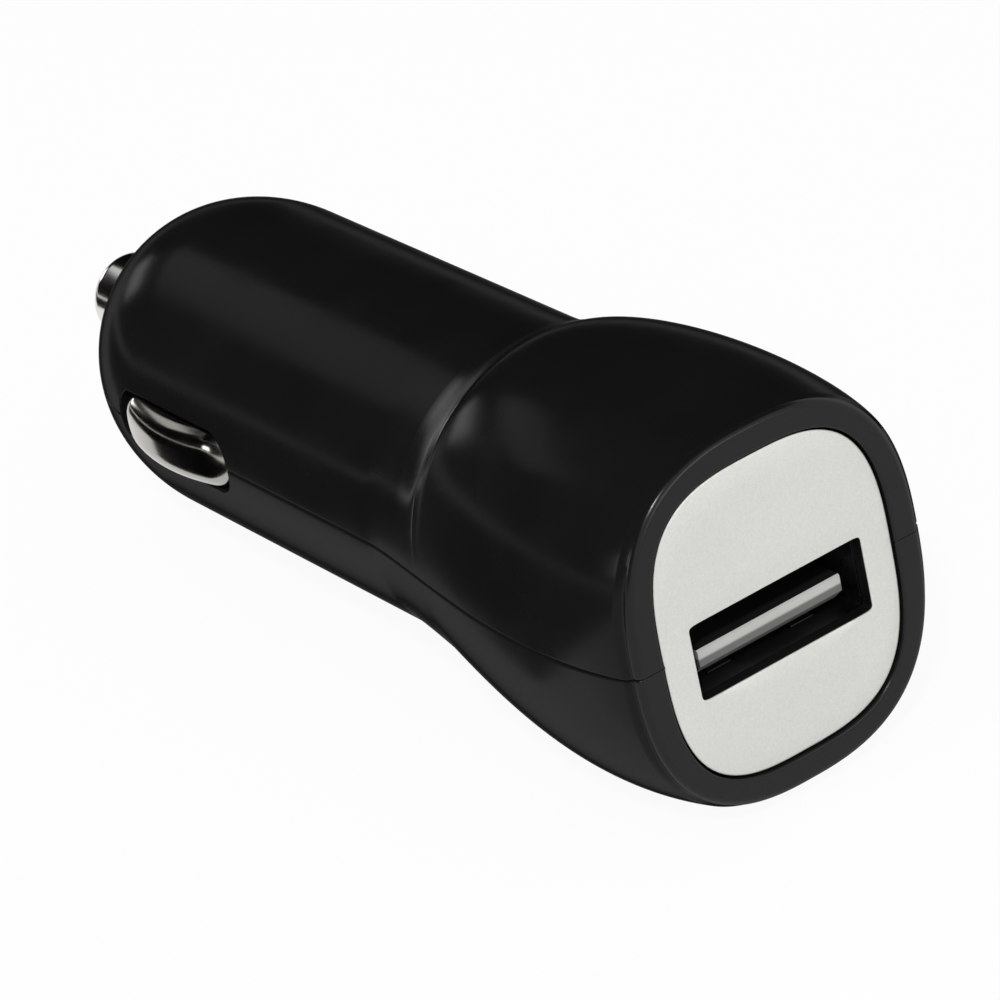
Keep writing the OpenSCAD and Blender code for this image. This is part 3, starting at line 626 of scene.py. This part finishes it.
# %% Node helpers
def new_group(name, inputs, outputs):
    """Empty shader group with float inputs (name, default) and named outputs."""
    group = bpy.data.node_groups.new(name, "ShaderNodeTree")
    for label, default in inputs:
        socket = group.interface.new_socket(label, in_out="INPUT", socket_type="NodeSocketFloat")
        socket.default_value = default
    for label in outputs:
        group.interface.new_socket(label, in_out="OUTPUT", socket_type="NodeSocketFloat")
    return group, group.nodes.new("NodeGroupInput"), group.nodes.new("NodeGroupOutput")


def add_node(tree, kind, settings=None, **values):
    """Node of a kind with its settings and input values; a value may be a socket to link."""
    node = tree.nodes.new(kind)
    for key, value in (settings or {}).items():
        setattr(node, key, value)
    for key, value in values.items():
        numbered = key[0] == "i" and key[1:].isdigit()
        socket = node.inputs[int(key[1:]) if numbered else key.replace("_", " ")]
        if isinstance(value, bpy.types.NodeSocket):
            tree.links.new(value, socket)
        else:
            socket.default_value = value
    return node


def math_node(tree, operation, a, b=0.0):
    """Output of a Math node."""
    return add_node(tree, "ShaderNodeMath", {"operation": operation}, i0=a, i1=b).outputs[0]


def ramp(tree, value, low, high, low_out=0.0, high_out=1.0):
    """Value taken from low..high to low_out..high_out and held at both ends."""
    return add_node(tree, "ShaderNodeMapRange", {"clamp": True}, i0=value, i1=low, i2=high,
                    i3=low_out, i4=high_out).outputs[0]


def object_point(tree):
    """Point on the surface in the object's own metres."""
    return add_node(tree, "ShaderNodeTexCoord").outputs["Object"]


# %% Fine grain group
def build_grain():
    """Two noises, one fine and one four times coarser, as a height and a gloss change."""
    group, source, sink = new_group("surface_grain", [("Scale", 9000.0), ("Slow Scale", 260.0)],
                                    ["Height", "Gloss"])
    point = object_point(group)
    fine = add_node(group, "ShaderNodeTexNoise", Vector=point, Scale=source.outputs["Scale"], Detail=2.0)
    coarse_scale = math_node(group, "MULTIPLY", source.outputs["Scale"], 0.25)
    coarse = add_node(group, "ShaderNodeTexNoise", Vector=point, Scale=coarse_scale, Detail=2.0)
    slow = add_node(group, "ShaderNodeTexNoise", Vector=point,
                    Scale=source.outputs["Slow Scale"], Detail=3.0)
    height = math_node(group, "ADD", fine.outputs["Fac"], coarse.outputs["Fac"])
    group.links.new(height, sink.inputs["Height"])
    group.links.new(slow.outputs["Fac"], sink.inputs["Gloss"])
    return group


grain = build_grain()
print("group", grain.name, "ready")


# %% Hair scratches group
def build_scratches():
    """Thin lines: a noise stretched forty times along one direction, cut to its narrow middle
    band, and broken up by a slow noise so that only a few stretches of it are left."""
    group, source, sink = new_group("hair_scratches", [("Scale", 900.0), ("Amount", 0.3)], ["Mask"])
    point = object_point(group)
    turned_point = add_node(group, "ShaderNodeMapping", Vector=point)
    turned_point.inputs["Rotation"].default_value = (0.5, 0.3, 0.9)
    turned_point.inputs["Scale"].default_value = (1.0, 0.025, 1.0)
    lines = add_node(group, "ShaderNodeTexNoise", Vector=turned_point.outputs[0],
                     Scale=source.outputs["Scale"], Detail=1.0)
    middle = math_node(group, "ABSOLUTE", math_node(group, "SUBTRACT", lines.outputs["Fac"], 0.5))
    thin = ramp(group, middle, 0.0, 0.006, 1.0, 0.0)
    patches = add_node(group, "ShaderNodeTexNoise", Vector=point, Scale=190.0, Detail=1.0)
    some = ramp(group, patches.outputs["Fac"], 0.5, 0.62)
    mask = math_node(group, "MULTIPLY", math_node(group, "MULTIPLY", thin, some), source.outputs["Amount"])
    group.links.new(mask, sink.inputs["Mask"])
    return group


scratches = build_scratches()
print("group", scratches.name, "ready")


# %% Material helper
def start_material(name):
    """Material with a Principled BSDF; returns the material, its tree and the shader."""
    material = bpy.data.materials.new(name)
    material.use_nodes = True
    tree = material.node_tree
    return material, tree, tree.nodes["Principled BSDF"]


def use_group(tree, group, **values):
    """One use of a shared effect, with this material's own numbers."""
    node = tree.nodes.new("ShaderNodeGroup")
    node.node_tree = group
    for key, value in values.items():
        node.inputs[key.replace("_", " ")].default_value = value
    return node


def colour_between(tree, factor, first, second):
    """Colour mixed by a factor from the first to the second; the first may be a socket."""
    first = first if isinstance(first, bpy.types.NodeSocket) else (*first, 1.0)
    mix = add_node(tree, "ShaderNodeMix", {"data_type": "RGBA"}, i0=factor, i6=first, i7=(*second, 1.0))
    return mix.outputs[2]


def bump(tree, shader, height, distance, strength=1.0):
    """Height in metres times strength, fed to the shader's normal."""
    node = add_node(tree, "ShaderNodeBump", Strength=strength, Distance=distance, Height=height)
    tree.links.new(node.outputs["Normal"], shader.inputs["Normal"])


def dress(objects, material):
    """Puts one material on every slot of each object."""
    for piece in objects:
        slots = piece.data.materials
        if len(slots) == 0:
            slots.append(material)
        for k in range(len(slots)):
            slots[k] = material


# %% [markdown]
# ## Gloss black plastic
# The shells are black all through, so the colour hardly varies. What the eye reads is
# the gloss: a moulded surface is slightly uneven over a few millimetres, it has a very
# fine grain, and handling leaves faint hair scratches that are a little rougher. The
# hollow at the shoulder, which no polishing of the mould reaches, is duller and paler, and
# the rim, which is wiped most often, shines more. Seen nearly edge on, clear gloss would
# mirror the whole white room, so there its reflection is taken down, as flags would do it.


# %% Gloss black plastic
EDGE_ON = (0.45, 0.85)
EDGE_ON_SHARE = 0.08
IOR_PLAIN = 1.5
IOR_EDGE_ON = 1.03
HOLLOW_RISE = (-1.2, 0.1)
HOLLOW_FALL = (1.0, 2.6)
HOLLOW_HEIGHT = (2.0, 8.0)
RIM_FADE = 0.1


def plastic(name, colour, roughness, grain_depth, specular, scratch=0.25):
    """Moulded plastic: base colour with a slow tint, gloss from the groups, grain as bump,
    and a specular level and IOR that fall as the surface turns away from the eye."""
    material, tree, shader = start_material(name)
    turned_away = add_node(tree, "ShaderNodeLayerWeight", Blend=0.5).outputs["Facing"]
    level = ramp(tree, turned_away, *EDGE_ON, specular, specular * EDGE_ON_SHARE)
    tree.links.new(level, shader.inputs["Specular IOR Level"])
    tree.links.new(ramp(tree, turned_away, *EDGE_ON, IOR_PLAIN, IOR_EDGE_ON), shader.inputs["IOR"])
    texture = use_group(tree, grain, Scale=7000.0, Slow_Scale=210.0)
    lines = use_group(tree, scratches, Scale=1500.0, Amount=scratch)
    gloss = ramp(tree, texture.outputs["Gloss"], 0.3, 0.7, roughness * 0.85, roughness * 1.2)
    rough = math_node(tree, "ADD", gloss, math_node(tree, "MULTIPLY", lines.outputs["Mask"], 0.12))
    tree.links.new(rough, shader.inputs["Roughness"])
    light = tuple(min(1.0, c * 1.35 + 0.0008) for c in colour)
    tint = colour_between(tree, texture.outputs["Gloss"], colour, light)
    tree.links.new(tint, shader.inputs["Base Color"])
    bump(tree, shader, texture.outputs["Height"], grain_depth)
    return material


def ramp_mm(tree, value, span, low_out=0.0, high_out=1.0):
    """Ramp over a span in millimetres."""
    return ramp(tree, value, span[0] * MM, span[1] * MM, low_out, high_out)


def vary_gloss(material, gain, roughness, rim_gain):
    """Raises the specular level on the rim, and with the roughness in the hollow at the
    shoulder, on top: mask = rise x fall along the axis x height above the parting."""
    tree = material.node_tree
    shader = tree.nodes["Principled BSDF"]
    parts = add_node(tree, "ShaderNodeSeparateXYZ", Vector=object_point(tree))
    rise = ramp_mm(tree, parts.outputs["Y"], HOLLOW_RISE)
    fall = ramp_mm(tree, parts.outputs["Y"], HOLLOW_FALL, 1.0, 0.0)
    high = ramp_mm(tree, parts.outputs["Z"], HOLLOW_HEIGHT)
    mask = math_node(tree, "MULTIPLY", math_node(tree, "MULTIPLY", rise, fall), high)
    level = shader.inputs["Specular IOR Level"]
    rim_end = FACE_Y + RIM_ROUND
    rim = ramp_mm(tree, parts.outputs["Y"], (rim_end, rim_end + RIM_FADE), rim_gain, 1.0)
    more = math_node(tree, "ADD", math_node(tree, "MULTIPLY", mask, gain - 1.0), rim)
    tree.links.new(math_node(tree, "MULTIPLY", level.links[0].from_socket, more), level)
    rough = shader.inputs["Roughness"]
    dull = math_node(tree, "MULTIPLY", mask, roughness)
    tree.links.new(math_node(tree, "MAXIMUM", rough.links[0].from_socket, dull), rough)


gloss_black = plastic("gloss_black_plastic", (0.006, 0.006, 0.0062), 0.2, 1.2e-6, 0.08)
vary_gloss(gloss_black, 24.0, 0.42, 2.6)
dress([upper_shell, lower_shell], gloss_black)

# %% [markdown]
# ## Satin silver paint
# The face is painted with a warm silver: fine flakes under a satin varnish. The flakes
# are a cell noise that tips the surface a hair, and the varnish a thin rougher coat.


# %% Satin silver paint
def satin_paint(name, colour, roughness):
    """Metallic paint: cell noise for the flakes, slow noise for the unevenness of the spray."""
    material, tree, shader = start_material(name)
    shader.inputs["Metallic"].default_value = 0.55
    shader.inputs["Coat Weight"].default_value = 0.15
    shader.inputs["Coat Roughness"].default_value = 0.4
    texture = use_group(tree, grain, Scale=16000.0, Slow_Scale=160.0)
    lines = use_group(tree, scratches, Scale=1100.0, Amount=0.3)
    flakes = add_node(tree, "ShaderNodeTexVoronoi", Vector=object_point(tree), Scale=11000.0)
    fleck = ramp(tree, flakes.outputs["Color"], 0.2, 0.8)
    tint = math_node(tree, "ADD", math_node(tree, "MULTIPLY", fleck, 0.6),
                     math_node(tree, "MULTIPLY", texture.outputs["Gloss"], 0.4))
    dark = tuple(c * 0.93 for c in colour)
    light = tuple(min(1.0, c * 1.05) for c in colour)
    tree.links.new(colour_between(tree, tint, dark, light), shader.inputs["Base Color"])
    gloss = ramp(tree, texture.outputs["Gloss"], 0.3, 0.7, roughness * 0.9, roughness * 1.12)
    rough = math_node(tree, "SUBTRACT", gloss, math_node(tree, "MULTIPLY", lines.outputs["Mask"], 0.1))
    tree.links.new(rough, shader.inputs["Roughness"])
    bump(tree, shader, texture.outputs["Height"], 1.5e-6)
    return material


silver = satin_paint("satin_silver_paint", (0.62, 0.625, 0.59), 0.42)
dress([panel], silver)
# Painted shade: the slot's cut edge and the plate's back are coloured black plastic.
panel.data.materials.append(plastic("panel_black_painted_shade", (0.004, 0.004, 0.004), 0.4, 2e-6, 0.2))
for face in panel.data.polygons:
    face.material_index = 1 if face.center[1] > (PANEL_Y + PAINTED_SHADE_DEPTH) * MM else 0

# %% [markdown]
# ## Plated and plain metals
# The nose contact is bright nickel on brass; the side contacts take a darker copy of it
# and the can a dark steel, both as painted shade. The strips on the tongue are gold and
# the winding is copper. All share one recipe: a metal whose gloss varies slowly, with
# fine drawing lines as bump, so only the numbers differ.


# %% Metals
def metal(name, colour, roughness, line_depth, line_scale=2600.0):
    """Metal with drawing lines: a noise stretched along the axis, plus the shared groups."""
    material, tree, shader = start_material(name)
    shader.inputs["Metallic"].default_value = 1.0
    texture = use_group(tree, grain, Scale=8000.0, Slow_Scale=320.0)
    lines = use_group(tree, scratches, Scale=1300.0, Amount=0.5)
    stretched = add_node(tree, "ShaderNodeMapping", Vector=object_point(tree))
    stretched.inputs["Scale"].default_value = (1.0, 0.03, 1.0)
    drawn = add_node(tree, "ShaderNodeTexNoise", Vector=stretched.outputs[0], Scale=line_scale, Detail=2.0)
    gloss = ramp(tree, texture.outputs["Gloss"], 0.3, 0.7, roughness * 0.8, roughness * 1.3)
    rough = math_node(tree, "ADD", gloss, math_node(tree, "MULTIPLY", lines.outputs["Mask"], 0.15))
    tree.links.new(rough, shader.inputs["Roughness"])
    dark = tuple(c * 0.9 for c in colour)
    tint = colour_between(tree, texture.outputs["Gloss"], dark, colour)
    tree.links.new(tint, shader.inputs["Base Color"])
    bump(tree, shader, drawn.outputs["Fac"], line_depth)
    return material


nickel = metal("bright_nickel", (0.78, 0.765, 0.735), 0.16, 2e-6)
dress([tip], nickel)
# Painted shade: the side contacts use a darker copy of the nickel.
side_contact_nickel_painted_shade = metal("side_contact_nickel_painted_shade", (0.42, 0.41, 0.375), 0.16, 2e-6)
dress([bpy.data.objects[f"pressed_{name}_contact"] for name in ("left", "right")], side_contact_nickel_painted_shade)
# Painted shade: the can's steel is made dark, so the inside of the port stays black.
dress([nodes["usb_can"]], metal("can_steel_painted_shade", (0.2, 0.2, 0.205), 0.3, 2e-6))
dress([nodes[f"usb_pin_{k}"] for k in range(1, 5)], metal("gold_strip", (0.83, 0.62, 0.28), 0.25, 1e-6))
dress([nodes["tip_spring"]], metal("spring_wire", (0.5, 0.5, 0.51), 0.3, 1e-6))
dress([nodes["spring_seat"]], metal("stamped_brass", (0.72, 0.55, 0.27), 0.35, 2e-6))
dress([nodes["coil_winding"]], metal("enamelled_copper", (0.6, 0.25, 0.1), 0.3, 2e-5, 900.0))

# %% [markdown]
# ## Everything else inside
# The tongue is a matt plastic, and so, near enough, are the board's lacquer, the chip
# bodies, the ferrite and the capacitors' sleeves. They are hidden in the closed plug, but
# an opened view or another render should still find them finished. The tongue keeps its
# light colour on the upper half of its front only: its top is painted black and what lies
# lower a dark grey, as painted shade for the unlit inside of the port.

# %% Inner pieces
# Painted shade on the tongue: how far up a face must turn to be darkened, the blend at the edge in
# millimetres, and the share of shade below it.
SHADE_UPWARD = (0.8, 0.95)
SHADE_BLEND = 0.08
SHADE_LOW_SHARE = 0.72


def paint_port_shade(material, piece, dark):
    """Painted shade: keeps the colour on the upper half of a piece's front, and darkens its
    top and what lies lower: shade share = the greater of the two ramps."""
    tree = material.node_tree
    shader = tree.nodes["Principled BSDF"]
    places = np.empty(len(piece.data.vertices) * 3)
    piece.data.vertices.foreach_get("co", places)
    places = places.reshape(-1, 3)
    front = places[places[:, 1] < places[:, 1].min() + 0.01 * MM, 2]
    edge = float(front.min() + front.max()) / 2 / MM
    facing = add_node(tree, "ShaderNodeSeparateXYZ",
                      Vector=add_node(tree, "ShaderNodeTexCoord").outputs["Normal"])
    height = add_node(tree, "ShaderNodeSeparateXYZ", Vector=object_point(tree))
    top = ramp(tree, facing.outputs["Z"], *SHADE_UPWARD)
    span = (edge - SHADE_BLEND, edge + SHADE_BLEND)
    under = ramp_mm(tree, height.outputs["Z"], span, SHADE_LOW_SHARE, 0.0)
    share = math_node(tree, "MAXIMUM", top, under)
    lit = shader.inputs["Base Color"].links[0].from_socket
    tree.links.new(colour_between(tree, share, lit, dark), shader.inputs["Base Color"])
    print("tongue's front changes colour at", round(edge, 2), "mm")


tongue_plastic = plastic("tongue_plastic", (0.4, 0.4, 0.385), 0.4, 3e-6, 0.2)
# Painted shade: the tongue's top turns near black and the lower part of its front dark grey.
paint_port_shade(tongue_plastic, nodes["usb_tongue"], (0.012, 0.012, 0.012))
dress([nodes["usb_tongue"]], tongue_plastic)
dress([nodes["circuit_board"]], plastic("board_lacquer", (0.02, 0.14, 0.06), 0.35, 4e-6, 0.5))
dress([nodes["coil_core"]], plastic("pressed_ferrite", (0.03, 0.03, 0.032), 0.6, 1e-5, 0.4))
dress([nodes["input_capacitor"]], plastic("blue_sleeve", (0.02, 0.04, 0.15), 0.3, 3e-6, 0.5))
dress([nodes["output_capacitor"]], plastic("grey_sleeve", (0.05, 0.05, 0.06), 0.3, 3e-6, 0.5))
dress([nodes["converter_chip"], nodes["rectifier_diode"]],
      plastic("chip_moulding", (0.012, 0.012, 0.013), 0.55, 6e-6, 0.4))
dress([nodes["resistors"]], plastic("resistor_glaze", (0.008, 0.008, 0.01), 0.4, 3e-6, 0.5))
dress([nodes["ceramic_capacitors"]], plastic("tan_ceramic", (0.38, 0.24, 0.13), 0.5, 3e-6, 0.4))

# %% [markdown]
# ## Floor and light
# The plug lies on a plain pale floor, touching it with the head's belly and the far end
# of the barrel, so the floor is pitched a few degrees in the plug's own frame. The white
# comes from the floor's and the world's colour as the camera and reflections see them,
# while the lamps stay at a plain level, so the black stays black.

# %% Floor
def lowest_line():
    """Slope and height of the line that touches the belly and the barrel's far end from below:
    of all lines through the far end, the steepest one that a belly point asks for."""
    y = np.linspace(FACE_Y, -0.01, 400)
    belly = -head_half_low(y)
    slope = float(np.max((belly + BARREL_R) / (y - BARREL_LEN)))
    return slope, -BARREL_R - slope * BARREL_LEN


floor_slope, floor_height = lowest_line()
FLOOR_SIZE = 2.5
FLOOR_GAP = 0.02
corners = np.array([(x, y, 0.0) for x, y in ((-1, -1), (1, -1), (1, 1), (-1, 1))]) * FLOOR_SIZE
corners[:, 2] = corners[:, 1] * floor_slope + (floor_height - FLOOR_GAP) * MM
floor_mesh = bpy.data.meshes.new("studio_floor")
floor_mesh.from_pydata(corners.tolist(), [], [(0, 1, 2, 3)])
floor = bpy.data.objects.new("studio_floor", floor_mesh)
bpy.context.scene.collection.objects.link(floor)
print("floor pitched by", round(math.degrees(math.atan(floor_slope)), 2), "degrees")


# %% Floor paper and white surround
def ray_level(tree, seen, rest):
    """One level for camera, glossy and transmission rays, and another for the rest."""
    path = tree.nodes.new("ShaderNodeLightPath")
    first = math_node(tree, "MAXIMUM", path.outputs["Is Camera Ray"], path.outputs["Is Glossy Ray"])
    direct = math_node(tree, "MAXIMUM", first, path.outputs["Is Transmission Ray"])
    return math_node(tree, "ADD", math_node(tree, "MULTIPLY", direct, seen - rest), rest)


paper, tree, shader = start_material("white_paper")
shader.inputs["Base Color"].default_value = (0.95, 0.95, 0.95, 1.0)
shader.inputs["Roughness"].default_value = 0.9
shader.inputs["Specular IOR Level"].default_value = 0.1
glow = add_node(tree, "ShaderNodeEmission", Strength=1.0)
blend = tree.nodes.new("ShaderNodeMixShader")
tree.links.new(ray_level(tree, 0.94, 0.0), blend.inputs[0])
tree.links.new(shader.outputs[0], blend.inputs[1])
tree.links.new(glow.outputs[0], blend.inputs[2])
tree.links.new(blend.outputs[0], tree.nodes["Material Output"].inputs["Surface"])
floor.data.materials.append(paper)

world = bpy.data.worlds.new("studio_surround")
world.use_nodes = True
bpy.context.scene.world = world
tree = world.node_tree
backdrop = tree.nodes["Background"]
backdrop.inputs["Color"].default_value = (1.0, 1.0, 1.0, 1.0)
tree.links.new(ray_level(tree, 1.0, 0.45), backdrop.inputs["Strength"])


# %% Lamps
def softbox(name, place, aim, size, power):
    """Oblong area lamp at a place, turned towards its aim; metres and watts."""
    data = bpy.data.lights.new(name, "AREA")
    data.shape = "RECTANGLE"
    data.size, data.size_y = size
    data.energy = power
    lamp = bpy.data.objects.new(name, data)
    lamp.location = place
    lamp.rotation_euler = (Vector(aim) - Vector(place)).to_track_quat("-Z", "Y").to_euler()
    bpy.context.scene.collection.objects.link(lamp)


softbox("front_softbox", (0.14, -0.62, 0.06), (0, 0, 0), (0.35, 0.2), 0.7)
softbox("rim_softbox", (-0.26, -0.36, 0.4), (0, 0, 0), (0.05, 0.05), 1.8)
softbox("crease_softbox", (-0.04, 0.5, 0.1), (0, 0, 0.01), (0.12, 0.08), 0.11)
softbox("sheen_softbox", (-0.1, 0.42, 0.3), (0, 0.01, 0), (0.24, 0.12), 0.07)
softbox("glint_softbox", (-0.6, 0.1, 0.13), (0, 0.02, 0), (0.2, 0.14), 0.35)

# %% [markdown]
# ## Dark flags
# Black gloss is photographed between dark flags: only the lamps and the floor show in
# it then, and it stays black up to its edges. The flags stand behind, to the left and
# above, and one lies on the floor at the left, for the side contact's middle. Only glossy
# rays meet them, so they take no light away from the plug.


# %% Flags
FLAG_LIFT = 0.1


def flag(name, middle, half_a, half_b):
    """Dark card from its middle and its two half sides, all in metres."""
    middle, half_a, half_b = (np.array(v) for v in (middle, half_a, half_b))
    corners = [middle - half_a - half_b, middle + half_a - half_b,
               middle + half_a + half_b, middle - half_a + half_b]
    mesh = bpy.data.meshes.new(name)
    mesh.from_pydata([c.tolist() for c in corners], [], [(0, 1, 2, 3)])
    card = bpy.data.objects.new(name, mesh)
    bpy.context.scene.collection.objects.link(card)
    card.visible_camera = False
    card.visible_diffuse = False
    card.visible_shadow = False
    card.visible_transmission = False
    card.data.materials.append(felt)


def flat_flag(name, middle, half):
    """Card that lies a hair above the floor, from its middle and half sizes in metres."""
    height = (floor_height + FLAG_LIFT) * MM + floor_slope * middle[1]
    flag(name, (*middle, height), (half[0], 0.0, 0.0), (0.0, half[1], half[1] * floor_slope))


felt, tree, shader = start_material("black_felt")
shader.inputs["Base Color"].default_value = (0.004, 0.004, 0.004, 1.0)
shader.inputs["Roughness"].default_value = 1.0
shader.inputs["Specular IOR Level"].default_value = 0.0
flag("flag_back", (0.0, 0.6, 0.33), (1.0, 0.0, 0.0), (0.0, 0.0, 0.36))
flag("flag_left", (-0.8, -0.1, 0.33), (0.0, 0.7, 0.0), (0.0, 0.0, 0.36))
flag("flag_above", (0.0, 0.0, 0.7), (0.8, 0.0, 0.0), (0.0, 0.6, 0.0))
flat_flag("flag_low", (-0.11, 0.1), (0.091, 0.1))

# %% [markdown]
# ## View transform
# The view transform stays Standard, so a colour renders as it is written.

# %% Finish
bpy.context.scene.view_settings.view_transform = "Standard"
